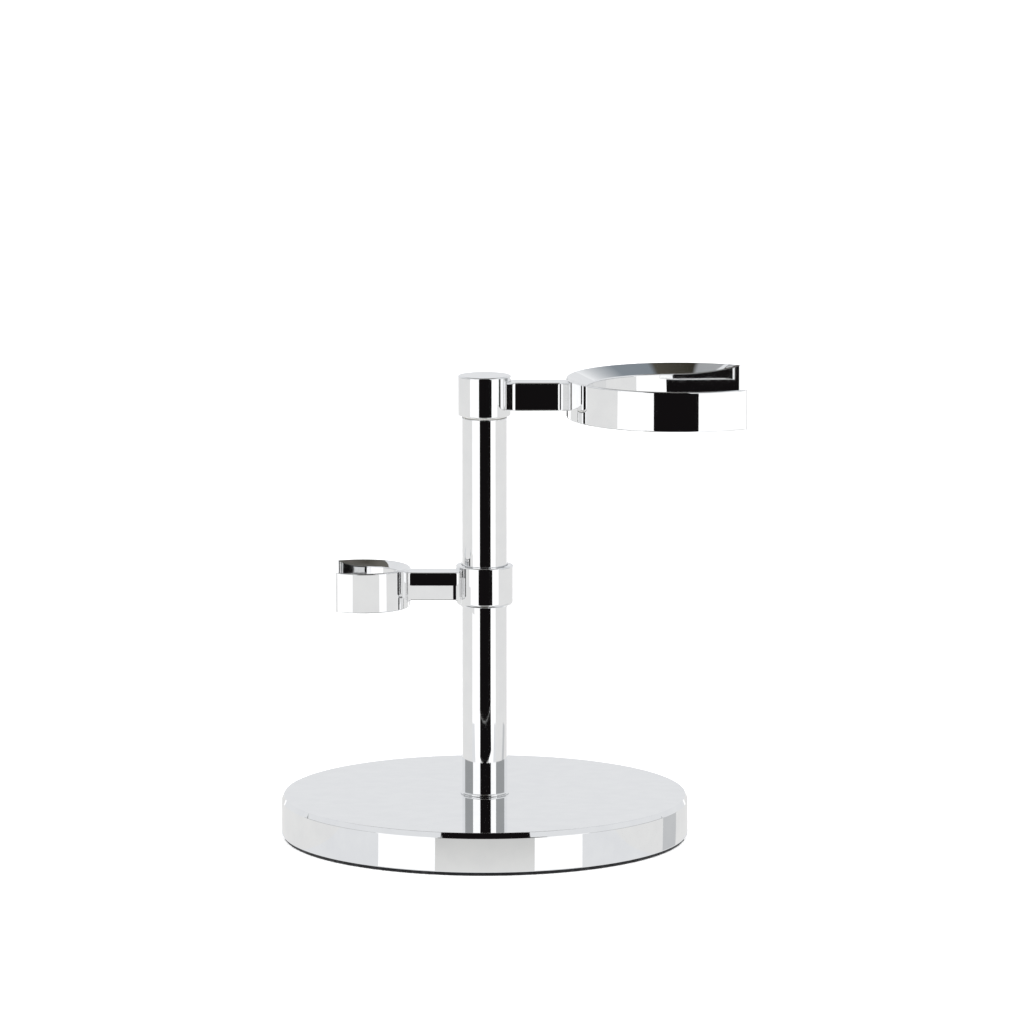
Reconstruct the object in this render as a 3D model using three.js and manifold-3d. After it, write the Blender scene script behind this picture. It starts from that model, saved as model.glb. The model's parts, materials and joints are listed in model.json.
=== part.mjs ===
// Desk stand for a shaving brush and a safety razor.
// A disc base carries an upright post. A swivelling hub on top of the post carries the
// large open brush holder, and a collar that slides and turns on the post carries the
// small open razor holder.
// Millimetres, +Z up, origin at the centre of the underside of the foot pad.
// +X runs along the brush arm and -X along the razor arm.

import * as THREE from 'three';
import Module from 'manifold-3d';
import { mergeVertices } from 'three/addons/utils/BufferGeometryUtils.js';

const wasm = await Module();
wasm.setup();

// ---------------------------------------------------------------- driving dimensions

const GAP = 0.05;                     // seat between two pieces that rest on each other
const ROUND_SEGMENTS = 96;            // facets round a large turned piece
const SMALL_SEGMENTS = 48;            // facets round a small turned piece

const PAD_RADIUS = 44.5;
const PAD_THICKNESS = 0.7;

const BASE_RADIUS = 45;
const BASE_BOTTOM = PAD_THICKNESS + GAP;
const BASE_TOP = 9.43;
const BASE_EDGE = 0.45;               // rounding of the top and bottom edges
const BASE_BORE_RADIUS = 2.7;         // clearance hole for the base screw
const BASE_POCKET_RADIUS = 6.2;       // pocket under the base for the screw head
const BASE_POCKET_DEPTH = 4.6;

const POST_RADIUS = 5;
const POST_WALL = 1.2;
const POST_BOTTOM = BASE_TOP + GAP;
const POST_TOP = 93.5;

const FOOT_RING_RADIUS = 5.4;
const FOOT_RING_HEIGHT = 0.5;

const PLUG_RADIUS = POST_RADIUS - POST_WALL - GAP;
const PLUG_LENGTH = 14;
const THREAD_RADIUS = 2.1;            // tapped bore, cut at the thread's outside size
const SCREW_RADIUS = 2.0;

const HUB_RADIUS = 5.85;
const HUB_BOTTOM = 93.95;
const HUB_TOP = 102.85;
const HUB_MIDDLE = (HUB_BOTTOM + HUB_TOP) / 2;
const HUB_EDGE = 0.3;
const HUB_BORE_RADIUS = 3.1;          // blind bore that turns on the pivot pin
const HUB_BORE_TOP = 100.8;

const PIVOT_RADIUS = 2.9;
const PIVOT_TOP = 100.4;
const PIVOT_GROOVE_RADIUS = 2.0;      // groove that keeps the hub from lifting off
const PIVOT_GROOVE_Z = 97.4;
const PIVOT_GROOVE_HALF = 1.2;

const COLLAR_RADIUS = 6.35;
const COLLAR_BOTTOM = 51.8;
const COLLAR_TOP = 60.7;
const COLLAR_MIDDLE = (COLLAR_BOTTOM + COLLAR_TOP) / 2;
const COLLAR_EDGE = 0.3;
const LINER_INNER = POST_RADIUS + GAP;
const LINER_OUTER = 5.6;
const COLLAR_BORE_RADIUS = LINER_OUTER + GAP;
const DRAG_PIN_RADIUS = 1.2;

const BAR_SIZE = 6.2;                  // square section of both bars
const BAR_EDGE = 0.3;
const BAR_BORE_RADIUS = 1.35;         // tapped bore along the bar
const BAR_SCREW_RADIUS = 1.25;
const STUD_LENGTH = 5;
const SCREW_HEAD_RADIUS = 2;
const SCREW_HEAD_HEIGHT = 0.9;
const SCREW_HEAD_SINK = 0.1;          // how far the head sits below the seat of the slot

const BRUSH_CENTRE = 42.9;             // X of the brush holder's centre
const BRUSH_RADIUS = 24.9;
const BRUSH_SLOT = 20.35;             // half width of the slot and radius of its seat
const BRUSH_MOUTH = 57.2;             // X where the walls of the slot end
const BRUSH_DISH = 1.95;              // fall of the dished top face
const RING_HEIGHT = 8.8;              // both open rings
const RING_DROP = 0.4;                // rings sit this much below the middle of their bars
const RING_EDGE = 0.25;

const RAZOR_CENTRE = 26.85;           // distance out along the razor arm, which points to -X
const RAZOR_RADIUS = 10.4;
const RAZOR_SLOT = 8.5;
const RAZOR_MOUTH = 32.8;
const RAZOR_DISH = 1.2;

const SET_SCREW_RADIUS = 1.5;
const HEX_SOCKET_RADIUS = 0.9;

// ---------------------------------------------------------------- materials

function metal(color, roughness) {
  return new THREE.MeshStandardMaterial({ color, roughness, metalness: 1 });
}

function plastic(color, roughness) {
  return new THREE.MeshStandardMaterial({ color, roughness, metalness: 0 });
}

const chrome = () => metal(0xd8dbde, 0.06);
const zincPlate = () => metal(0xa9adb2, 0.35);
const brass = () => metal(0xb8954f, 0.3);
const nylon = () => plastic(0xe8e6df, 0.5);
const felt = () => plastic(0x17171a, 0.95);

// ---------------------------------------------------------------- shape helpers

const vec = (x, y) => new THREE.Vector2(x, y);

// Points of a rounded corner between two axis-parallel edges of a turned profile.
function roundedCorner(centreX, centreZ, radius, startDegrees, steps = 4) {
  const points = [];
  for (let i = 0; i <= steps; i += 1) {
    const angle = THREE.MathUtils.degToRad(startDegrees + (90 * i) / steps);
    points.push(vec(centreX + radius * Math.cos(angle), centreZ + radius * Math.sin(angle)));
  }
  return points;
}

// Revolves a profile of (radius, z) points round the Z axis.
function turned(profile, segments = SMALL_SEGMENTS) {
  const geometry = new THREE.LatheGeometry(profile, segments);
  geometry.rotateX(Math.PI / 2);
  return geometry;
}

// Solid round bar between two heights with rounded rims.
function turnedDisc(radius, bottom, top, edge, segments = SMALL_SEGMENTS) {
  return turned([
    vec(0, bottom),
    ...roundedCorner(radius - edge, bottom + edge, edge, -90),
    ...roundedCorner(radius - edge, top - edge, edge, 0),
    vec(0, top),
  ], segments);
}

// Plain tube between two heights.
function turnedTube(outer, inner, bottom, top, edge, segments = SMALL_SEGMENTS) {
  return turned([
    vec(inner, bottom),
    ...roundedCorner(outer - edge, bottom + edge, edge, -90, 2),
    ...roundedCorner(outer - edge, top - edge, edge, 0, 2),
    vec(inner, top),
    vec(inner, bottom),
  ], segments);
}

// Plain round bar used as a cutting tool.
function cutter(radius, bottom, top, segments = SMALL_SEGMENTS) {
  return turned([vec(0, bottom), vec(radius, bottom), vec(radius, top), vec(0, top)], segments);
}

// Lays a solid made along Z down along +X, so z becomes x.
function alongX(geometry) {
  geometry.rotateY(Math.PI / 2);
  return geometry;
}

function toSolid(geometry) {
  const welded = geometry.clone();
  welded.deleteAttribute('normal');
  welded.deleteAttribute('uv');
  const merged = mergeVertices(welded, 1e-4);
  const mesh = new wasm.Mesh({
    numProp: 3,
    vertProperties: new Float32Array(merged.attributes.position.array),
    triVerts: new Uint32Array(merged.index.array),
  });
  mesh.merge();
  return new wasm.Manifold(mesh);
}

function toGeometry(solid) {
  const mesh = solid.getMesh();
  const geometry = new THREE.BufferGeometry();
  geometry.setAttribute('position', new THREE.BufferAttribute(new Float32Array(mesh.vertProperties), 3));
  geometry.setIndex(new THREE.BufferAttribute(new Uint32Array(mesh.triVerts), 1));
  geometry.computeVertexNormals();
  return geometry;
}

// Cuts every tool out of a body.
function cut(body, tools) {
  let solid = toSolid(body);
  for (const tool of tools) {
    solid = solid.subtract(toSolid(tool));
  }
  return toGeometry(solid);
}

// Flat plate with an outline in X and Y, between two heights.
function plate(shape, bottom, top) {
  const options = { depth: top - bottom, bevelEnabled: false, curveSegments: 24 };
  const geometry = new THREE.ExtrudeGeometry(shape, options);
  geometry.translate(0, 0, bottom);
  return geometry;
}

// Six-sided key socket, made along Z.
function hexSocket(radius, bottom, top) {
  return turned([vec(0, bottom), vec(radius, bottom), vec(radius, top), vec(0, top)], 6);
}

function part(name, geometry, material) {
  const mesh = new THREE.Mesh(geometry, material);
  mesh.name = name;
  return mesh;
}

// ---------------------------------------------------------------- base

function basePad() {
  return part('base_pad', turnedDisc(PAD_RADIUS, 0, PAD_THICKNESS, 0.1, ROUND_SEGMENTS), felt());
}

function basePlate() {
  const body = turnedDisc(BASE_RADIUS, BASE_BOTTOM, BASE_TOP, BASE_EDGE, ROUND_SEGMENTS);
  const bore = cutter(BASE_BORE_RADIUS, BASE_BOTTOM - 1, BASE_TOP + 1);
  const pocket = cutter(BASE_POCKET_RADIUS, BASE_BOTTOM - 1, BASE_BOTTOM + BASE_POCKET_DEPTH);
  return part('base_plate', cut(body, [bore, pocket]), chrome());
}

function baseWasher() {
  const seat = BASE_BOTTOM + BASE_POCKET_DEPTH - GAP;
  return part('base_lock_washer', turnedTube(4.6, SCREW_RADIUS + 0.2, seat - 0.8, seat, 0.1), zincPlate());
}

function baseScrew() {
  const headTop = BASE_BOTTOM + BASE_POCKET_DEPTH - GAP - 0.8 - GAP;
  const headBottom = headTop - 2.6;
  const tip = POST_BOTTOM + 10;
  const body = turned([
    vec(0, headBottom),
    ...roundedCorner(3.9 - 0.4, headBottom + 0.4, 0.4, -90),
    vec(3.9, headTop),
    vec(SCREW_RADIUS, headTop),
    vec(SCREW_RADIUS, tip - 0.5),
    vec(SCREW_RADIUS - 0.5, tip),
    vec(0, tip),
  ]);
  return part('base_screw', cut(body, [hexSocket(1.7, headBottom - 1, headBottom + 1.6)]), zincPlate());
}

// ---------------------------------------------------------------- post

function footRing() {
  const bottom = BASE_TOP + GAP;
  return part(
    'foot_ring',
    turnedTube(FOOT_RING_RADIUS, POST_RADIUS + GAP, bottom, bottom + FOOT_RING_HEIGHT, 0.15),
    chrome(),
  );
}

function postTube() {
  const inner = POST_RADIUS - POST_WALL;
  return part('post_tube', turnedTube(POST_RADIUS, inner, POST_BOTTOM, POST_TOP, 0.15), chrome());
}

function lowerPlug() {
  const bottom = POST_BOTTOM;
  return part(
    'post_lower_plug',
    turnedTube(PLUG_RADIUS, THREAD_RADIUS, bottom, bottom + PLUG_LENGTH, 0.3),
    brass(),
  );
}

// The upper plug closes the tube and holds the pivot pin that the hub turns on.
function upperPlug() {
  const bottom = POST_TOP - PLUG_LENGTH;
  return part('post_upper_plug', turnedTube(PLUG_RADIUS, THREAD_RADIUS, bottom, POST_TOP, 0.3), brass());
}

function pivotPin() {
  const shoulder = POST_TOP + GAP;
  const grooveBottom = PIVOT_GROOVE_Z - PIVOT_GROOVE_HALF;
  const grooveTop = PIVOT_GROOVE_Z + PIVOT_GROOVE_HALF;
  return part('hub_pivot_pin', turned([
    vec(0, POST_TOP - 9),
    vec(SCREW_RADIUS - 0.5, POST_TOP - 9),
    vec(SCREW_RADIUS, POST_TOP - 8.5),
    vec(SCREW_RADIUS, shoulder),
    vec(PIVOT_RADIUS, shoulder),
    vec(PIVOT_RADIUS, grooveBottom),
    vec(PIVOT_GROOVE_RADIUS, grooveBottom),
    vec(PIVOT_GROOVE_RADIUS, grooveTop),
    vec(PIVOT_RADIUS, grooveTop),
    vec(PIVOT_RADIUS, PIVOT_TOP - 0.4),
    vec(PIVOT_RADIUS - 0.4, PIVOT_TOP),
    vec(0, PIVOT_TOP),
  ]), zincPlate());
}

function hubWasher() {
  const bottom = POST_TOP + GAP;
  return part(
    'hub_friction_washer',
    turnedTube(4.7, PIVOT_RADIUS + GAP, bottom, HUB_BOTTOM - GAP, 0.05),
    nylon(),
  );
}

// ---------------------------------------------------------------- arms

// Square bar along +X between two distances from the post, centred on z = 0.
function squareBar(start, end) {
  const half = BAR_SIZE / 2;
  const shape = new THREE.Shape();
  const corners = [[1, 1, 0], [-1, 1, 90], [-1, -1, 180], [1, -1, 270]];
  for (const [sx, sy, startDegrees] of corners) {
    const x = sx * (half - BAR_EDGE);
    const y = sy * (half - BAR_EDGE);
    for (const point of roundedCorner(x, y, BAR_EDGE, startDegrees, 3)) {
      if (shape.curves.length === 0 && shape.currentPoint.lengthSq() === 0) {
        shape.moveTo(point.x, point.y);
      } else {
        shape.lineTo(point.x, point.y);
      }
    }
  }
  shape.closePath();
  return alongX(plate(shape, start, end));
}

// End of a bar hollowed to sit against a round neighbour.
function roundSaddle(centreX, radius) {
  const tool = cutter(radius + GAP, -BAR_SIZE, BAR_SIZE, ROUND_SEGMENTS);
  tool.translate(centreX, 0, 0);
  return tool;
}

// Bar with saddle ends and a tapped bore along its length.
function armBar(name, neckRadius, ring) {
  const start = neckRadius - 1;
  const end = ring.centre - ring.radius + 1;
  const tools = [
    roundSaddle(0, neckRadius),
    roundSaddle(ring.centre, ring.radius),
    alongX(cutter(BAR_BORE_RADIUS, start - 1, end + 1, 24)),
  ];
  return part(name, cut(squareBar(start, end), tools), chrome());
}

// Outline of the U-shaped slot, open towards +X.
function slotOutline(ring) {
  const beyond = ring.centre + ring.radius + 5;
  const outline = new THREE.Shape();
  outline.moveTo(ring.centre, -ring.slot);
  outline.lineTo(beyond, -ring.slot);
  outline.lineTo(beyond, ring.slot);
  outline.lineTo(ring.centre, ring.slot);
  outline.absarc(ring.centre, 0, ring.slot, Math.PI / 2, (3 * Math.PI) / 2, false);
  return outline;
}

// Open ring with a dished top face and a U-shaped slot, pointing along +X and centred on z = 0.
function openRing(name, ring) {
  const half = RING_HEIGHT / 2;
  const body = turned([
    vec(0, -half),
    ...roundedCorner(ring.radius - RING_EDGE, RING_EDGE - half, RING_EDGE, -90, 3),
    ...roundedCorner(ring.radius - RING_EDGE, half - RING_EDGE, RING_EDGE, 0, 3),
    vec(ring.slot, half - ring.dish),
    vec(0, half - ring.dish),
  ], ROUND_SEGMENTS);
  body.translate(ring.centre, 0, -RING_DROP);
  const mouth = new THREE.BoxGeometry(ring.radius, 4 * ring.radius, 4 * RING_HEIGHT);
  mouth.translate(ring.mouth + ring.radius / 2, 0, 0);
  const seat = ring.centre - ring.slot;
  const sinkFloor = seat - SCREW_HEAD_SINK - SCREW_HEAD_HEIGHT - GAP;
  const tools = [
    plate(slotOutline(ring), -RING_HEIGHT, RING_HEIGHT),
    mouth,
    alongX(cutter(BAR_BORE_RADIUS, ring.centre - ring.radius - 1, seat + 1, 24)),
    alongX(cutter(SCREW_HEAD_RADIUS + 0.1, sinkFloor, seat + 1, 24)),
  ];
  return part(name, cut(body, tools), chrome());
}

// Socket screw that pulls a ring onto the end of its bar, with its head sunk in the seat.
function ringScrew(name, ring, length) {
  const head = ring.centre - ring.slot - SCREW_HEAD_SINK;
  const neck = head - SCREW_HEAD_HEIGHT;
  const tip = neck - length;
  const body = turned([
    vec(0, tip),
    vec(BAR_SCREW_RADIUS - 0.4, tip),
    vec(BAR_SCREW_RADIUS, tip + 0.4),
    vec(BAR_SCREW_RADIUS, neck),
    vec(SCREW_HEAD_RADIUS, neck),
    vec(SCREW_HEAD_RADIUS, head - 0.2),
    vec(SCREW_HEAD_RADIUS - 0.2, head),
    vec(0, head),
  ], 32);
  return part(name, alongX(cut(body, [hexSocket(HEX_SOCKET_RADIUS, head - 0.6, head + 1)])), zincPlate());
}

// Plain pin along +X with a small chamfer at both ends.
function pinAlongX(name, radius, start, end, material) {
  const pin = turned([
    vec(0, start),
    vec(radius - 0.2, start),
    vec(radius, start + 0.2),
    vec(radius, end - 0.2),
    vec(radius - 0.2, end),
    vec(0, end),
  ], 32);
  return part(name, alongX(pin), material);
}

// ---------------------------------------------------------------- brush arm

function brushHub() {
  const body = turnedDisc(HUB_RADIUS, HUB_BOTTOM, HUB_TOP, HUB_EDGE, ROUND_SEGMENTS);
  const bore = cutter(HUB_BORE_RADIUS, HUB_BOTTOM - 1, HUB_BORE_TOP);
  const setScrewHole = alongX(cutter(SET_SCREW_RADIUS + GAP, 0, HUB_RADIUS + 1, 32));
  setScrewHole.rotateZ(Math.PI / 2);
  setScrewHole.translate(0, 0, PIVOT_GROOVE_Z);
  const studHole = alongX(cutter(BAR_BORE_RADIUS, 0, HUB_RADIUS + 1, 24));
  studHole.translate(0, 0, HUB_MIDDLE);
  return part('brush_hub', cut(body, [bore, setScrewHole, studHole]), chrome());
}

// Grub screw in the back of the hub whose tip runs in the groove of the pivot pin.
function hubSetScrew() {
  const tip = PIVOT_GROOVE_RADIUS + 0.4;
  const outer = HUB_RADIUS - 0.35;
  const body = turned([
    vec(0, tip),
    vec(0.9, tip),
    vec(SET_SCREW_RADIUS, tip + 0.9),
    vec(SET_SCREW_RADIUS, outer - 0.2),
    vec(SET_SCREW_RADIUS - 0.2, outer),
    vec(0, outer),
  ], 32);
  const screw = part(
    'hub_set_screw',
    alongX(cut(body, [hexSocket(HEX_SOCKET_RADIUS, outer - 1, outer + 1)])),
    zincPlate(),
  );
  screw.rotation.z = Math.PI / 2;
  screw.position.z = PIVOT_GROOVE_Z;
  return screw;
}

function brushArm() {
  const ring = {
    centre: BRUSH_CENTRE,
    radius: BRUSH_RADIUS,
    slot: BRUSH_SLOT,
    mouth: BRUSH_MOUTH,
    dish: BRUSH_DISH,
  };
  const studStart = HUB_BORE_RADIUS + 0.3;
  const studEnd = studStart + STUD_LENGTH + 1;
  const arm = new THREE.Group();
  arm.name = 'brush_arm';
  arm.position.z = HUB_MIDDLE;
  arm.add(pinAlongX('brush_arm_stud', BAR_SCREW_RADIUS, studStart, studEnd, zincPlate()));
  arm.add(armBar('brush_arm_bar', HUB_RADIUS, ring));
  arm.add(openRing('brush_holder', ring));
  arm.add(ringScrew('brush_holder_screw', ring, 9));
  return arm;
}

// ---------------------------------------------------------------- razor arm

// Nylon sleeve that grips the post and lets the collar turn round it.
function collarLiner() {
  return part(
    'collar_liner',
    turnedTube(LINER_OUTER, LINER_INNER, COLLAR_BOTTOM + 0.3, COLLAR_TOP - 0.3, 0.1, ROUND_SEGMENTS),
    nylon(),
  );
}

function razorCollar() {
  const body = turnedTube(
    COLLAR_RADIUS,
    COLLAR_BORE_RADIUS,
    COLLAR_BOTTOM,
    COLLAR_TOP,
    COLLAR_EDGE,
    ROUND_SEGMENTS,
  );
  const pinHole = alongX(cutter(BAR_BORE_RADIUS, 0, COLLAR_RADIUS + 1, 24));
  pinHole.rotateZ(Math.PI);
  pinHole.translate(0, 0, COLLAR_MIDDLE);
  return part('razor_collar', cut(body, [pinHole]), chrome());
}

function razorArm() {
  const ring = {
    centre: RAZOR_CENTRE,
    radius: RAZOR_RADIUS,
    slot: RAZOR_SLOT,
    mouth: RAZOR_MOUTH,
    dish: RAZOR_DISH,
  };
  const pinStart = COLLAR_BORE_RADIUS + 0.1;
  const pinEnd = pinStart + 1.3;
  const studEnd = pinEnd + STUD_LENGTH - 0.7;
  const arm = new THREE.Group();
  arm.name = 'razor_arm';
  arm.position.z = COLLAR_MIDDLE;
  arm.rotation.z = Math.PI;
  arm.add(pinAlongX('razor_drag_pin', DRAG_PIN_RADIUS, pinStart, pinEnd, nylon()));
  arm.add(pinAlongX('razor_arm_stud', BAR_SCREW_RADIUS, pinEnd + GAP, studEnd, zincPlate()));
  arm.add(armBar('razor_arm_bar', COLLAR_RADIUS, ring));
  arm.add(openRing('razor_holder', ring));
  arm.add(ringScrew('razor_holder_screw', ring, 6));
  return arm;
}

// ---------------------------------------------------------------- assembly

const group = new THREE.Group();
group.name = 'shaving_stand';
group.add(basePad(), basePlate(), baseWasher(), baseScrew());
group.add(footRing(), postTube(), lowerPlug(), upperPlug(), pivotPin(), hubWasher());
group.add(brushHub(), hubSetScrew(), brushArm());
group.add(collarLiner(), razorCollar(), razorArm());

export default group;
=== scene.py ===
"""Studio picture of a chrome shaving stand: disc base, post, brush holder and razor holder.

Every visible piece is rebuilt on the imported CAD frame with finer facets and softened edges.
"""

import json
import math

import bmesh
import bpy
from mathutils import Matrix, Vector
from mathutils import noise as mnoise


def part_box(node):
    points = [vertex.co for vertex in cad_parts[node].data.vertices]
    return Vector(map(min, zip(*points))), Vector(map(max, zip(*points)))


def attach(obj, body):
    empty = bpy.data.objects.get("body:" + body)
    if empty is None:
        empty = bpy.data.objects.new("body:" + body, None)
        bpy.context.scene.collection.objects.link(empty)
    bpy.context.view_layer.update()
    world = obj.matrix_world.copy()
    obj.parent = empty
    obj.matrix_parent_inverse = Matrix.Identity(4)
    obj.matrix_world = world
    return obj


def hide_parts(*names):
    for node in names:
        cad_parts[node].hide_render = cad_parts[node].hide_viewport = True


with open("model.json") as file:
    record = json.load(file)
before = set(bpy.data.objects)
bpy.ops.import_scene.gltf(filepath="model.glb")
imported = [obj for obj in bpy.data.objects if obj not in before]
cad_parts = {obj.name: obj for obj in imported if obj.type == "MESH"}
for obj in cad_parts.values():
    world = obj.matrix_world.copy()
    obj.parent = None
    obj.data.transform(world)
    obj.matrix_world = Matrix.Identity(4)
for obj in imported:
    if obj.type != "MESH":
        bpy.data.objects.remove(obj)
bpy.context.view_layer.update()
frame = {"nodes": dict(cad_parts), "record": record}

MM = 0.001

# ---------------------------------------------------------------- sizes not held by a CAD box

EDGE_SOFT = 0.3 * MM         # base rim
RIM_BAND = 1.15 * MM         # narrow bevel round the base's top edge
RIM_LEAN = 0.5 * MM          # how far the bevel leans in
RIM_CREST = 0.1 * MM         # rounding where the bevel meets the top face
EDGE_NECK = 0.3 * MM         # hub, bars and rings
BAR_FILLET = 0.7 * MM        # blends the lower bar into its collar and ring
COLLAR_LOWER_EDGE = 0.9 * MM
COLLAR_GAP = 0.1 * MM        # between post and collar
BRUSH_SLOT = 20.35 * MM      # half width of the brush holder's slot
RAZOR_SLOT = 8.5 * MM
BRUSH_DISH = 1.95 * MM       # fall of the dished top face
RAZOR_DISH = 1.2 * MM
LIP = 0.4 * MM               # rounding along the inner edge of the dish
TIP_THICKNESS = 0.2 * MM     # where the horns of the rings are blunted
SUPPORT = 0.02 * MM          # distance of a support loop from its rounding
TURN_STEPS = 256
FELT_STEPS = 720
RING_STEPS = 320
CORNER_STEPS = 6
FILLET_STEPS = 6

# ---------------------------------------------------------------- camera

CAMERA_DISTANCE = 1.45
CAMERA_ELEVATION = math.radians(8.8)
CAMERA_TARGET = Vector((0.00604, 0.0, 0.07242))
CAMERA_LENS = 231.4

# ---------------------------------------------------------------- studio places, in metres

SECTOR_HEIGHT = 0.0004       # floor sectors, with the rim's sectors and the flag's foot above them
RIM_SECTOR_HEIGHT = 0.0006
FLAG_FOOT_HEIGHT = 0.0008
NEAR_BASE = 0.046
FLAG_DISTANCE = 0.140        # black flag in front of the stand
CARD_DISTANCE = 1.3
CEILING = 1.0
FLOOR_END = 6.0


def box_of(node):
    low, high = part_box(node)
    return Vector(low), Vector(high)


# ---------------------------------------------------------------- materials


class Graph:
    """A material's node tree with short calls for the nodes used here."""

    def __init__(self, name):
        self.material = bpy.data.materials.new(name)
        self.material.use_nodes = True
        self.tree = self.material.node_tree
        self.shader = self.tree.nodes["Principled BSDF"]
        self.coords = self.tree.nodes.new("ShaderNodeTexCoord").outputs["Object"]

    def link(self, output, target):
        self.tree.links.new(output, target)

    def stretched(self, scale):
        """Object coordinates scaled along each axis."""
        mapping = self.tree.nodes.new("ShaderNodeMapping")
        mapping.inputs["Scale"].default_value = scale
        self.link(self.coords, mapping.inputs["Vector"])
        return mapping.outputs["Vector"]

    def noise(self, scale, detail=4.0, vector=None):
        node = self.tree.nodes.new("ShaderNodeTexNoise")
        node.inputs["Scale"].default_value = scale
        node.inputs["Detail"].default_value = detail
        self.link(vector or self.coords, node.inputs["Vector"])
        return node.outputs["Fac"]

    def ranged(self, value, low, high, from_low=0.3, from_high=0.7):
        node = self.tree.nodes.new("ShaderNodeMapRange")
        node.inputs["From Min"].default_value = from_low
        node.inputs["From Max"].default_value = from_high
        node.inputs["To Min"].default_value = low
        node.inputs["To Max"].default_value = high
        self.link(value, node.inputs["Value"])
        return node.outputs["Result"]

    def ramp(self, value, stops):
        node = self.tree.nodes.new("ShaderNodeValToRGB")
        elements = node.color_ramp.elements
        while len(elements) < len(stops):
            elements.new(0.5)
        for element, (position, color) in zip(elements, stops):
            element.position = position
            element.color = (*color, 1.0)
        self.link(value, node.inputs["Fac"])
        return node.outputs["Color"]

    def paint(self, value, stops):
        """Base colour that follows a value."""
        self.link(self.ramp(value, stops), self.shader.inputs["Base Color"])

    def bump(self, height, distance, strength):
        node = self.tree.nodes.new("ShaderNodeBump")
        node.inputs["Strength"].default_value = strength
        node.inputs["Distance"].default_value = distance
        self.link(height, node.inputs["Height"])
        self.link(node.outputs["Normal"], self.shader.inputs["Normal"])


def chrome_material():
    """Bright polished plating with faint haze and hairline polishing marks."""
    g = Graph("polished_chrome")
    g.shader.inputs["Metallic"].default_value = 1.0
    haze = g.noise(220.0, 3.0)
    g.paint(haze, [(0.35, (0.90, 0.905, 0.915)), (0.65, (0.93, 0.935, 0.94))])
    marks = g.noise(900.0, 6.0, g.stretched((1.0, 1.0, 0.15)))
    g.link(g.ranged(marks, 0.018, 0.045), g.shader.inputs["Roughness"])
    g.bump(g.noise(60.0, 2.0), 0.000004, 0.4)
    return g.material


def zinc_material():
    """Dull plated steel for the screws."""
    g = Graph("zinc_plated_steel")
    g.shader.inputs["Metallic"].default_value = 1.0
    grain = g.noise(1400.0, 5.0)
    g.paint(grain, [(0.3, (0.50, 0.52, 0.54)), (0.7, (0.66, 0.67, 0.68))])
    g.link(g.ranged(grain, 0.25, 0.42), g.shader.inputs["Roughness"])
    g.bump(grain, 0.00002, 0.5)
    return g.material


def brass_material():
    """Turned brass with fine circular tool marks."""
    g = Graph("turned_brass")
    g.shader.inputs["Metallic"].default_value = 1.0
    rings = g.noise(1500.0, 3.0, g.stretched((0.1, 0.1, 2.0)))
    g.paint(rings, [(0.3, (0.62, 0.47, 0.22)), (0.7, (0.76, 0.61, 0.33))])
    g.link(g.ranged(rings, 0.2, 0.38), g.shader.inputs["Roughness"])
    g.bump(rings, 0.00002, 0.5)
    return g.material


def nylon_material():
    """Off-white nylon with a soft sheen."""
    g = Graph("natural_nylon")
    cloud = g.noise(500.0, 4.0)
    g.paint(cloud, [(0.3, (0.78, 0.77, 0.72)), (0.7, (0.86, 0.85, 0.81))])
    g.link(g.ranged(cloud, 0.4, 0.55), g.shader.inputs["Roughness"])
    g.bump(cloud, 0.00003, 0.3)
    return g.material


def felt_material():
    """Black felt: matted fibres with a little grey lint."""
    g = Graph("black_felt")
    fibres = g.noise(2600.0, 6.0)
    lint = g.noise(700.0, 4.0)
    g.paint(lint, [(0.45, (0.006, 0.006, 0.007)), (0.8, (0.035, 0.035, 0.04))])
    g.link(g.ranged(fibres, 0.85, 1.0), g.shader.inputs["Roughness"])
    g.shader.inputs["Sheen Weight"].default_value = 0.15
    g.bump(fibres, 0.00015, 0.8)
    return g.material


# ---------------------------------------------------------------- mesh building


def finish_piece(name, bm, material, body, nodes):
    """Turns a bmesh into a shaded piece that rides a body and stands for CAD nodes."""
    bmesh.ops.remove_doubles(bm, verts=bm.verts, dist=1e-8)
    bmesh.ops.recalc_face_normals(bm, faces=bm.faces)
    mesh = bpy.data.meshes.new(name)
    bm.to_mesh(mesh)
    bm.free()
    mesh.polygons.foreach_set("use_smooth", [True] * len(mesh.polygons))
    mesh.materials.append(material)
    piece = bpy.data.objects.new(name, mesh)
    bpy.context.scene.collection.objects.link(piece)
    weighted = piece.modifiers.new("weighted_normals", "WEIGHTED_NORMAL")
    weighted.weight = 100
    weighted.keep_sharp = True
    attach(piece, body)
    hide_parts(*nodes)


def skin(bm, loops):
    """Faces between neighbouring loops of vertices, with both ends closed."""
    for a, b in zip(loops, loops[1:]):
        for i in range(len(a)):
            j = (i + 1) % len(a)
            bm.faces.new((a[i], a[j], b[j], b[i]))
    bm.faces.new(loops[0])
    bm.faces.new(loops[-1])


def arc_points(centre, radius, start, end, steps=CORNER_STEPS):
    """Points on an arc in a (radius, height) profile, angles in degrees."""
    points = []
    for i in range(steps + 1):
        angle = math.radians(start + (end - start) * i / steps)
        points.append((centre[0] + radius * math.cos(angle), centre[1] + radius * math.sin(angle)))
    return points


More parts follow.
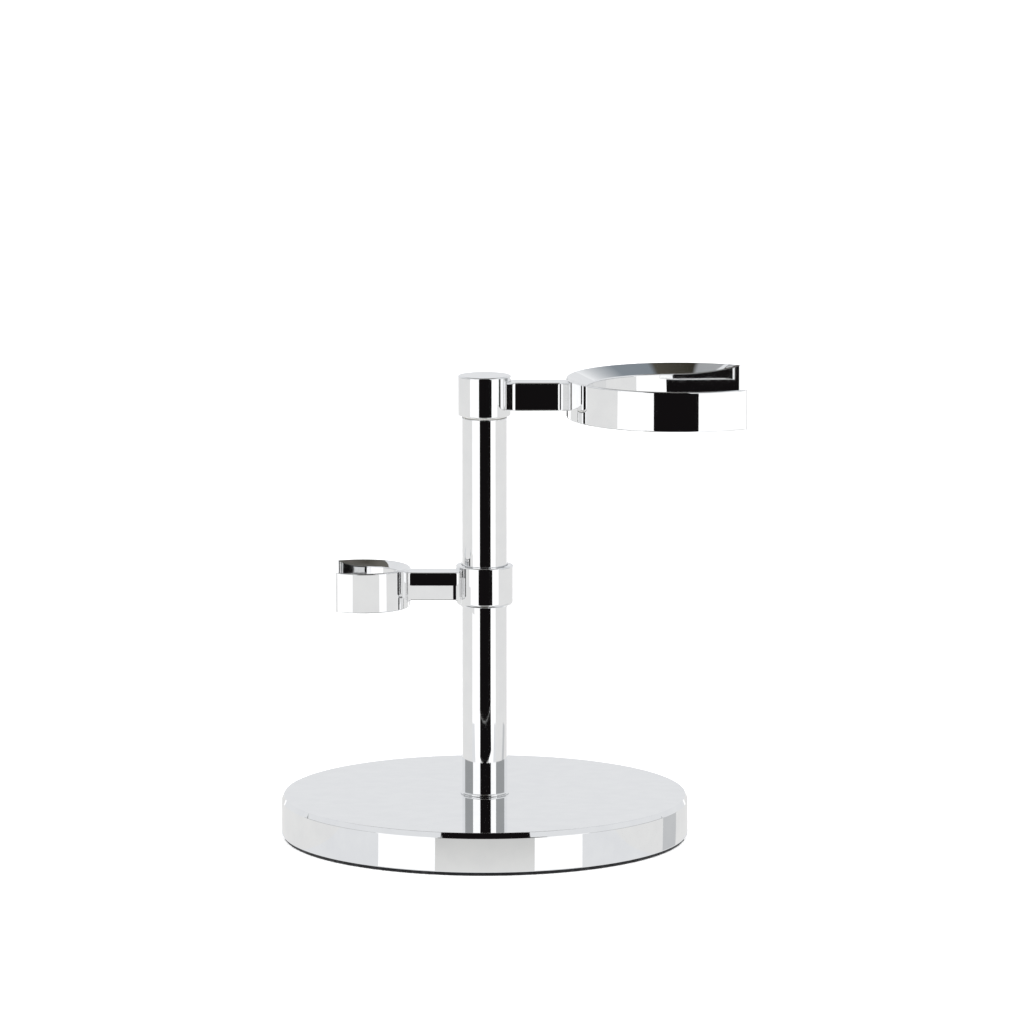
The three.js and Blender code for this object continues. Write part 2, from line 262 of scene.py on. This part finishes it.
def turned(profile, steps=TURN_STEPS, closed=False):
    """Revolves (radius, height) points round Z. A point on the axis becomes a single vertex."""
    bm = bmesh.new()
    loops = []
    for radius, height in profile:
        if radius < 1e-7:
            loops.append([bm.verts.new((0.0, 0.0, height))])
            continue
        ring = []
        for i in range(steps):
            angle = 2 * math.pi * i / steps
            ring.append(bm.verts.new((radius * math.cos(angle), radius * math.sin(angle), height)))
        loops.append(ring)
    pairs = list(zip(loops, loops[1:]))
    if closed:
        pairs.append((loops[-1], loops[0]))
    for a, b in pairs:
        for i in range(steps):
            j = (i + 1) % steps
            corners = [a[i % len(a)], a[j % len(a)], b[j % len(b)], b[i % len(b)]]
            unique = list(dict.fromkeys(corners))
            if len(unique) > 2:
                bm.faces.new(unique)
    return bm


def rounded_cylinder(radius, bottom, top, lower_edge, upper_edge):
    """Profile of a solid disc with rounded rims, with support loops beside each rounding."""
    return [
        (0.0, bottom),
        (radius - lower_edge - SUPPORT, bottom),
        *arc_points((radius - lower_edge, bottom + lower_edge), lower_edge, -90, 0),
        (radius, bottom + lower_edge + SUPPORT),
        (radius, top - upper_edge - SUPPORT),
        *arc_points((radius - upper_edge, top - upper_edge), upper_edge, 0, 90),
        (radius - upper_edge - SUPPORT, top),
        (0.0, top),
    ]


def sleeve(outer, inner, bottom, top, lower_edge, upper_edge):
    """Closed profile of a tube with rounded outer rims."""
    return [
        (inner, bottom),
        *arc_points((outer - lower_edge, bottom + lower_edge), lower_edge, -90, 0),
        *arc_points((outer - upper_edge, top - upper_edge), upper_edge, 0, 90),
        (inner, top),
    ]


# ---------------------------------------------------------------- base and post


def make_base(chrome, felt):
    """Disc with a narrow bevel round its top edge, on its pad."""
    low, high = box_of("base_plate")
    radius = (high.x - low.x) / 2
    band = high.z - RIM_BAND
    lean = math.degrees(math.atan2(RIM_LEAN, RIM_BAND))
    crest = radius - RIM_LEAN - RIM_CREST
    profile = [
        (0.0, low.z),
        (radius - EDGE_SOFT - SUPPORT, low.z),
        *arc_points((radius - EDGE_SOFT, low.z + EDGE_SOFT), EDGE_SOFT, -90, 0),
        (radius, low.z + EDGE_SOFT + SUPPORT),
        (radius, band - 5 * SUPPORT),
        *arc_points((radius - EDGE_SOFT, band - 3 * SUPPORT), EDGE_SOFT, 0, lean, 3),
        *arc_points((crest, high.z - RIM_CREST), RIM_CREST, lean, 90),
        (crest - SUPPORT, high.z),
        (0.0, high.z),
    ]
    finish_piece("base_disc", turned(profile), chrome, "stand", ["base_plate"])
    make_pad(felt)


def make_pad(felt):
    """Felt disc whose cut edge is slightly uneven."""
    low, high = box_of("base_pad")
    radius = (high.x - low.x) / 2
    edge = 0.2 * MM
    bm = turned(rounded_cylinder(radius, low.z, high.z, edge, edge), FELT_STEPS)
    for vert in bm.verts:
        reach = math.hypot(vert.co.x, vert.co.y)
        if reach > 0.9 * radius:
            wave = mnoise.noise(vert.co * 900.0) + 0.5 * mnoise.noise(vert.co * 2400.0)
            push = 1.0 + 0.10 * MM * wave / reach
            vert.co.x *= push
            vert.co.y *= push
    finish_piece("felt_foot", bm, felt, "stand", ["base_pad"])


def make_post(chrome):
    low, high = box_of("post_tube")
    radius = (high.x - low.x) / 2
    finish_piece(
        "post",
        turned(rounded_cylinder(radius, low.z, high.z, 0.1 * MM, 0.15 * MM)),
        chrome, "stand", ["post_tube"],
    )
    low, high = box_of("foot_ring")
    finish_piece(
        "post_foot_ring",
        turned(sleeve((high.x - low.x) / 2, radius, low.z, high.z, 0.12 * MM, 0.25 * MM), closed=True),
        chrome, "stand", ["foot_ring"],
    )


# ---------------------------------------------------------------- hub, collar and bars


def make_hub(chrome):
    low, high = box_of("brush_hub")
    finish_piece(
        "hub",
        turned(rounded_cylinder((high.x - low.x) / 2, low.z, high.z, EDGE_NECK, EDGE_NECK)),
        chrome, "brush_arm", ["brush_hub"],
    )


def make_collar(chrome):
    low, high = box_of("razor_collar")
    post_low, post_high = box_of("post_tube")
    bore = (post_high.x - post_low.x) / 2 + COLLAR_GAP
    profile = sleeve((high.x - low.x) / 2, bore, low.z, high.z, COLLAR_LOWER_EDGE, EDGE_NECK)
    finish_piece(
        "collar",
        turned(profile, closed=True),
        chrome, "razor_arm", ["razor_collar", "collar_liner"],
    )


def bar_outline(half, edge):
    """Rounded square in (y, z)."""
    points = []
    for sy, sz, start in ((1, 1, 0), (-1, 1, 90), (-1, -1, 180), (1, -1, 270)):
        centre = (sy * (half - edge), sz * (half - edge))
        points.extend(arc_points(centre, edge, start, start + 90))
    return points


def flare(distance, fillet):
    """How far a bar's sides swell at a distance from its end, for a concave fillet."""
    if distance >= fillet:
        return 0.0
    return fillet - math.sqrt(fillet ** 2 - (fillet - distance) ** 2)


def bar_stations(length, fillet):
    """Distances along a bar, closer together in the fillets."""
    ends = [0.0]
    if fillet > 0:
        ends = [fillet * (i / FILLET_STEPS) ** 2 for i in range(FILLET_STEPS + 1)]
    middle = [ends[-1] + (length - 2 * ends[-1]) * i / 6 for i in range(1, 6)]
    return ends + middle + [length - value for value in reversed(ends)]


def make_bar(name, node, neck, ring, side, body, chrome, fillet=0.0):
    """Square bar whose two ends follow the round neck and the round ring."""
    low, high = box_of(node)
    middle = (low.z + high.z) / 2
    half = (high.y - low.y) / 2
    bm = bmesh.new()
    loops = []
    outline = bar_outline(half, EDGE_NECK)
    length = ring["centre"] - ring["radius"] - neck
    for station in bar_stations(length, fillet):
        share = station / length
        swell = 1 + flare(min(station, length - station), fillet) / half
        loop = []
        for y, z in outline:
            start = math.sqrt(neck ** 2 - (y * swell) ** 2)
            end = ring["centre"] - math.sqrt(ring["radius"] ** 2 - (y * swell) ** 2)
            x = start + (end - start) * share
            loop.append(bm.verts.new((side * x, y * swell, middle + z * swell)))
        loops.append(loop)
    skin(bm, loops)
    finish_piece(name, bm, chrome, body, [node])


# ---------------------------------------------------------------- open rings


def ring_size(node, slot, dish, side):
    """Sizes of an open ring read from its CAD box, with distances measured out along its arm."""
    low, high = box_of(node)
    radius = (high.y - low.y) / 2
    inner_end = low.x if side > 0 else -high.x
    return {
        "centre": inner_end + radius,
        "radius": radius,
        "bottom": low.z,
        "top": high.z,
        "slot": slot,
        "dish": dish,
    }


def ring_section(ring, angle):
    """Closed (radius, height) section of an open ring at an angle from its mouth."""
    outer = ring["radius"]
    inner = ring["slot"]
    if math.cos(angle) > 0:
        inner = ring["slot"] / abs(math.sin(angle))
    wall = outer - inner
    fall = ring["dish"] * wall / (outer - ring["slot"])
    edge = min(EDGE_NECK, 0.3 * wall)
    lip = min(LIP, 0.25 * wall)
    bottom = ring["bottom"]
    top = ring["top"]
    tilt = math.degrees(math.atan2(fall, wall))
    return [
        *arc_points((inner + lip, bottom + lip), lip, 180, 270, 3),
        *arc_points((outer - edge, bottom + edge), edge, -90, 0),
        *arc_points((outer - edge, top - edge), edge, 0, 90 + tilt),
        *arc_points((inner + lip, top - fall - lip * 0.9), lip, 90 + tilt, 180, 4),
    ]


def make_ring(name, node, ring, side, body, chrome):
    """Open ring swept round its centre from one horn to the other."""
    horn = math.asin(ring["slot"] / (ring["radius"] - TIP_THICKNESS))
    bm = bmesh.new()
    loops = []
    for i in range(RING_STEPS + 1):
        angle = horn + (2 * math.pi - 2 * horn) * i / RING_STEPS
        loop = []
        for reach, height in ring_section(ring, angle):
            x = ring["centre"] + reach * math.cos(angle)
            loop.append(bm.verts.new((side * x, side * reach * math.sin(angle), height)))
        loops.append(loop)
    skin(bm, loops)
    finish_piece(name, bm, chrome, body, [node])


# ---------------------------------------------------------------- studio


def stage_material(name, color, emission, paint=0.0):
    """Studio surface with a faint mottling that glows evenly, and with paint returns light too."""
    g = Graph(name)
    mottle = g.noise(3.0, 3.0)
    tint = g.ramp(mottle, [(0.3, tuple(0.99 * c for c in color)), (0.7, color)])
    g.link(tint, g.shader.inputs["Emission Color"])
    g.paint(mottle, [(0.3, (0.98 * paint,) * 3), (0.7, (paint,) * 3)])
    g.shader.inputs["Emission Strength"].default_value = emission
    g.shader.inputs["Roughness"].default_value = 1.0
    g.shader.inputs["Specular IOR Level"].default_value = 0.0
    return g.material


def graded_material(name, stops, radial=False):
    """Studio surface whose glow changes along X, or with the distance from the post."""
    g = Graph(name)
    if radial:
        measure = g.tree.nodes.new("ShaderNodeVectorMath")
        measure.operation = "LENGTH"
        g.link(g.coords, measure.inputs[0])
        place = measure.outputs["Value"]
    else:
        split = g.tree.nodes.new("ShaderNodeSeparateXYZ")
        g.link(g.coords, split.inputs["Vector"])
        place = split.outputs["X"]
    first = stops[0][0]
    last = stops[-1][0]
    share = g.ranged(place, 0.0, 1.0, first, last)
    scaled = [((position - first) / (last - first), color) for position, color in stops]
    g.link(g.ramp(share, scaled), g.shader.inputs["Emission Color"])
    g.shader.inputs["Emission Strength"].default_value = 1.0
    g.shader.inputs["Base Color"].default_value = (0.0, 0.0, 0.0, 1.0)
    g.shader.inputs["Specular IOR Level"].default_value = 0.0
    return g.material


def stage_sheet(name, corners, material):
    """Flat sheet that belongs to the studio. It shows in reflections only, unless changed."""
    mesh = bpy.data.meshes.new(name)
    mesh.from_pydata(corners, [], [tuple(range(len(corners)))])
    mesh.materials.append(material)
    sheet = bpy.data.objects.new(name, mesh)
    bpy.context.scene.collection.objects.link(sheet)
    sheet.visible_camera = False
    sheet.visible_shadow = False
    sheet.visible_diffuse = False
    return sheet


def make_floor():
    """Pale floor for the eye, with its own even glow so that it stays clean white."""
    size = 9.0
    front = -2.5
    back = 14.0
    corners = [(-size, front, 0.0), (size, front, 0.0), (size, back, 0.0), (-size, back, 0.0)]
    floor = stage_sheet("floor", corners, stage_material("studio_floor", (1.0, 1.0, 1.0), 0.42, 0.8))
    floor.visible_camera = True
    floor.visible_diffuse = True
    floor.visible_glossy = False


def polar(distance, azimuth, height):
    """Point at an azimuth counted from the camera's side, positive towards +X."""
    angle = math.radians(azimuth)
    return (distance * math.sin(angle), -distance * math.cos(angle), height)


def floor_sector(name, start, end, near, far, material):
    """Ring sector just above the floor that polished surfaces see."""
    steps = max(2, int((end - start) / 6))
    azimuths = [start + (end - start) * i / steps for i in range(steps + 1)]
    outer = [polar(far, azimuth, SECTOR_HEIGHT) for azimuth in azimuths]
    inner = [polar(near, azimuth, SECTOR_HEIGHT) for azimuth in reversed(azimuths)]
    stage_sheet(name, outer + inner, material)


def rim_sector(name, start, end, material):
    """Patch of floor round the base that its rim sees between two azimuths of the rim."""
    low, high = box_of("base_plate")
    radius = (high.x - low.x) / 2 + 0.5 * MM
    reach = 0.11
    steps = 12
    azimuths = [start + (end - start) * i / steps for i in range(steps + 1)]
    inner = [Vector(polar(radius, azimuth, RIM_SECTOR_HEIGHT)) for azimuth in azimuths]
    outer = []
    for foot, azimuth in zip(inner, azimuths):
        outer.append(foot + Vector(polar(reach, 2 * azimuth, 0.0)))
    stage_sheet(name, outer + inner[::-1], material)


def standing_card(name, start, end, top, material):
    """Distant card that stands on the floor between two azimuths."""
    corners = [
        polar(CARD_DISTANCE, start, 0.0), polar(CARD_DISTANCE, end, 0.0),
        polar(CARD_DISTANCE, end, top), polar(CARD_DISTANCE, start, top),
    ]
    stage_sheet(name, corners, material)


def front_card(name, front, left, right, low, high, material):
    """Upright card across the view."""
    stage_sheet(name, [
        (left, front, low), (right, front, low), (right, front, high), (left, front, high),
    ], material)


def ceiling_card(name, left, right, front, back, material):
    stage_sheet(name, [
        (left, front, CEILING), (right, front, CEILING), (right, back, CEILING), (left, back, CEILING),
    ], material)


def make_cards():
    """White panels either side of a dark gap in front, and darker panels overhead and behind."""
    white = stage_material("softbox_white", (1.0, 1.0, 1.0), 1.15)
    pale = stage_material("studio_pale", (0.80, 0.80, 0.795), 1.0)
    side = stage_material("studio_side", (0.34, 0.35, 0.355), 1.0)
    black = stage_material("flag_black", (0.006, 0.0052, 0.0056), 1.0)
    make_floor_sectors(white, pale, black)
    make_rim_sectors(white)
    standing_card("softbox_left", -62.0, -24.0, 0.3, white)
    standing_card("softbox_right", 33.0, 60.0, 0.3, white)
    standing_card("side_left", -120.0, -62.0, 0.32, side)
    standing_card("side_right", 60.0, 120.0, 0.32, side)
    make_flags(black)
    make_ceiling()
    make_bounce_cards(pale)
    make_ring_cards(white)


def make_floor_sectors(white, pale, black):
    for name, start, end, near, material in (
        ("reflected_left", -150.0, -65.0, NEAR_BASE, pale),
        ("reflected_left_white", -65.0, -24.0, FLAG_DISTANCE, white),
        ("reflected_dark", -24.0, 19.0, FLAG_DISTANCE, black),
        ("reflected_right_white", 19.0, 57.5, FLAG_DISTANCE, white),
        ("reflected_right", 57.5, 150.0, NEAR_BASE, pale),
        ("reflected_back_left", 150.0, 168.0, NEAR_BASE, white),
        ("reflected_back_dark", 168.0, 196.0, NEAR_BASE, black),
        ("reflected_back_right", 196.0, 210.0, NEAR_BASE, white),
    ):
        floor_sector(name, start, end, near, FLOOR_END, material)


def make_rim_sectors(white):
    """Floor patches that give the rim its upright bands."""
    shade = graded_material("studio_shade", [
        (0.046, (0.76, 0.76, 0.75)), (0.075, (0.64, 0.64, 0.63)), (0.10, (0.55, 0.55, 0.54)),
    ], radial=True)
    end_shade = stage_material("studio_rim_end", (0.56, 0.57, 0.58), 1.0)
    rim_sector("rim_left_white", -31.0, -13.8, white)
    rim_sector("rim_middle", -13.8, 14.2, shade)
    rim_sector("rim_right_white", 14.2, 28.5, white)
    rim_sector("rim_right_end", 61.0, 70.0, end_shade)


def make_flags(black):
    """Black flag in front, in three parts with its foot, that draws the dark line down the post."""
    front = -FLAG_DISTANCE
    left = -0.057
    right = 0.083
    bottom = 0.001
    shoulder = 0.09
    front_card("flag", front, 0.0, right, bottom, shoulder, black)
    front_card("flag_left", front, left, 0.0, bottom, shoulder, black)
    front_card("flag_upper", front, -0.0595, 0.063, shoulder, 0.30, black)
    stage_sheet("flag_foot", [
        (-0.037, -0.088, FLAG_FOOT_HEIGHT), (0.056, -0.088, FLAG_FOOT_HEIGHT),
        (right, front, FLAG_FOOT_HEIGHT), (left, front, FLAG_FOOT_HEIGHT),
    ], black)


def make_ceiling():
    """Dark, grey and light panels overhead, which the dished tops of the rings reflect."""
    run = graded_material("ceiling_run", [
        (-0.34, (0.03, 0.03, 0.03)), (-0.22, (0.05, 0.05, 0.05)), (-0.17, (0.40, 0.41, 0.42)),
        (-0.02, (0.36, 0.37, 0.38)), (0.0, (0.035, 0.032, 0.024)), (0.17, (0.075, 0.07, 0.058)),
        (0.20, (0.22, 0.25, 0.28)), (0.36, (0.24, 0.27, 0.30)), (0.60, (0.92, 0.93, 0.94)),
    ])
    gap = graded_material("ceiling_gap", [
        (-0.85, (0.15, 0.145, 0.13)), (-0.35, (0.13, 0.125, 0.11)), (-0.1, (0.075, 0.07, 0.06)),
        (0.2, (0.13, 0.12, 0.11)), (0.40, (0.05, 0.045, 0.04)),
    ])
    brown = stage_material("studio_brown", (0.11, 0.105, 0.095), 1.0)
    ceiling_card("ceiling_beam", -0.34, 0.60, 0.52, 2.3, run)
    ceiling_card("ceiling_gap", -0.85, 0.40, 0.08, 0.46, gap)
    ceiling_card("ceiling_front", -0.55, 0.50, -0.45, 0.08, brown)


def make_bounce_cards(pale):
    """Small pale cards just in front of the razor holder and under its bar."""
    low, high = box_of("razor_holder")
    front = low.y - 3 * MM
    front_card("ring_bounce", front, low.x + 2.5 * MM, high.x - 3.3 * MM, low.z - 4 * MM, high.z, pale)
    low, high = box_of("razor_arm_bar")
    front = low.y - 5 * MM
    middle = (low.z + high.z) / 2 - 0.6 * MM
    front_card("bar_bounce", front, low.x - 0.5 * MM, high.x - 1.5 * MM, low.z - 4 * MM, middle, pale)


def make_ring_cards(white):
    """White cards beside the brush holder: one ahead of its left half, one past its right end."""
    low, high = box_of("brush_holder")
    bottom = low.z - 8 * MM
    front = low.y - 10 * MM
    middle = (low.x + high.x) / 2
    front_card("ring_card_left", front, middle - 16 * MM, middle - 6.6 * MM, bottom, high.z, white)
    past = high.x + 18 * MM
    near = low.y - 26 * MM
    far = low.y + 2 * MM
    stage_sheet("ring_card_right", [
        (past, near, bottom), (past, far, bottom), (past, far, high.z), (past, near, high.z),
    ], white)


def make_lights():
    """Broad overhead light and a weak fill from each side."""
    for name, place, size, power in (
        ("top_light", (0.0, 0.1, 1.6), 2.2, 26.0),
        ("left_fill", (-1.6, -0.6, 0.9), 1.2, 6.0),
        ("right_fill", (1.6, -0.6, 0.9), 1.2, 6.0),
    ):
        data = bpy.data.lights.new(name, "AREA")
        data.shape = "SQUARE"
        data.size = size
        data.energy = power
        light = bpy.data.objects.new(name, data)
        light.location = place
        light.rotation_euler = (Vector((0, 0, 0.05)) - Vector(place)).to_track_quat("-Z", "Y").to_euler()
        light.visible_glossy = False
        bpy.context.scene.collection.objects.link(light)


def make_world():
    """Even pale surroundings."""
    world = bpy.data.worlds.new("studio")
    world.use_nodes = True
    background = world.node_tree.nodes["Background"]
    background.inputs["Color"].default_value = (0.785, 0.795, 0.81, 1.0)
    background.inputs["Strength"].default_value = 1.0
    bpy.context.scene.world = world


def make_view():
    """Plain display so that white stays white and the dark reflections stay deep."""
    bpy.context.scene.view_settings.view_transform = "Standard"


def make_camera():
    """Long lens, a little above the stand and square to its arms."""
    data = bpy.data.cameras.new("camera")
    data.lens = CAMERA_LENS
    data.sensor_width = 36.0
    data.clip_start = 0.05
    data.clip_end = 60.0
    camera = bpy.data.objects.new("camera", data)
    offset = Vector((0.0, -math.cos(CAMERA_ELEVATION), math.sin(CAMERA_ELEVATION)))
    camera.location = CAMERA_TARGET + CAMERA_DISTANCE * offset
    camera.rotation_euler = (-offset).to_track_quat("-Z", "Y").to_euler()
    bpy.context.scene.collection.objects.link(camera)
    bpy.context.scene.camera = camera


# ---------------------------------------------------------------- build


def dress_inner_nodes(finishes):
    """Gives each CAD node that stays its own finish, by the record's material slot."""
    for entry in frame["record"]["subparts"]:
        node = frame["nodes"][entry["node"]]
        for material_slot in node.material_slots:
            material_slot.material = finishes[entry["material_slot"]]


def main():
    chrome = chrome_material()
    felt = felt_material()
    dress_inner_nodes({
        "chrome_plate": chrome,
        "zinc_steel": zinc_material(),
        "plug_brass": brass_material(),
        "nylon": nylon_material(),
        "felt_pad": felt,
    })
    brush = ring_size("brush_holder", BRUSH_SLOT, BRUSH_DISH, 1)
    razor = ring_size("razor_holder", RAZOR_SLOT, RAZOR_DISH, -1)
    hub_low, hub_high = box_of("brush_hub")
    collar_low, collar_high = box_of("razor_collar")
    hub_radius = (hub_high.x - hub_low.x) / 2
    collar_radius = (collar_high.x - collar_low.x) / 2
    make_base(chrome, felt)
    make_post(chrome)
    make_hub(chrome)
    make_collar(chrome)
    make_bar("brush_bar", "brush_arm_bar", hub_radius, brush, 1, "brush_arm", chrome)
    make_bar("razor_bar", "razor_arm_bar", collar_radius, razor, -1, "razor_arm", chrome, BAR_FILLET)
    make_ring("brush_ring", "brush_holder", brush, 1, "brush_arm", chrome)
    make_ring("razor_ring", "razor_holder", razor, -1, "razor_arm", chrome)
    make_floor()
    make_cards()
    make_lights()
    make_world()
    make_view()
    make_camera()


main()
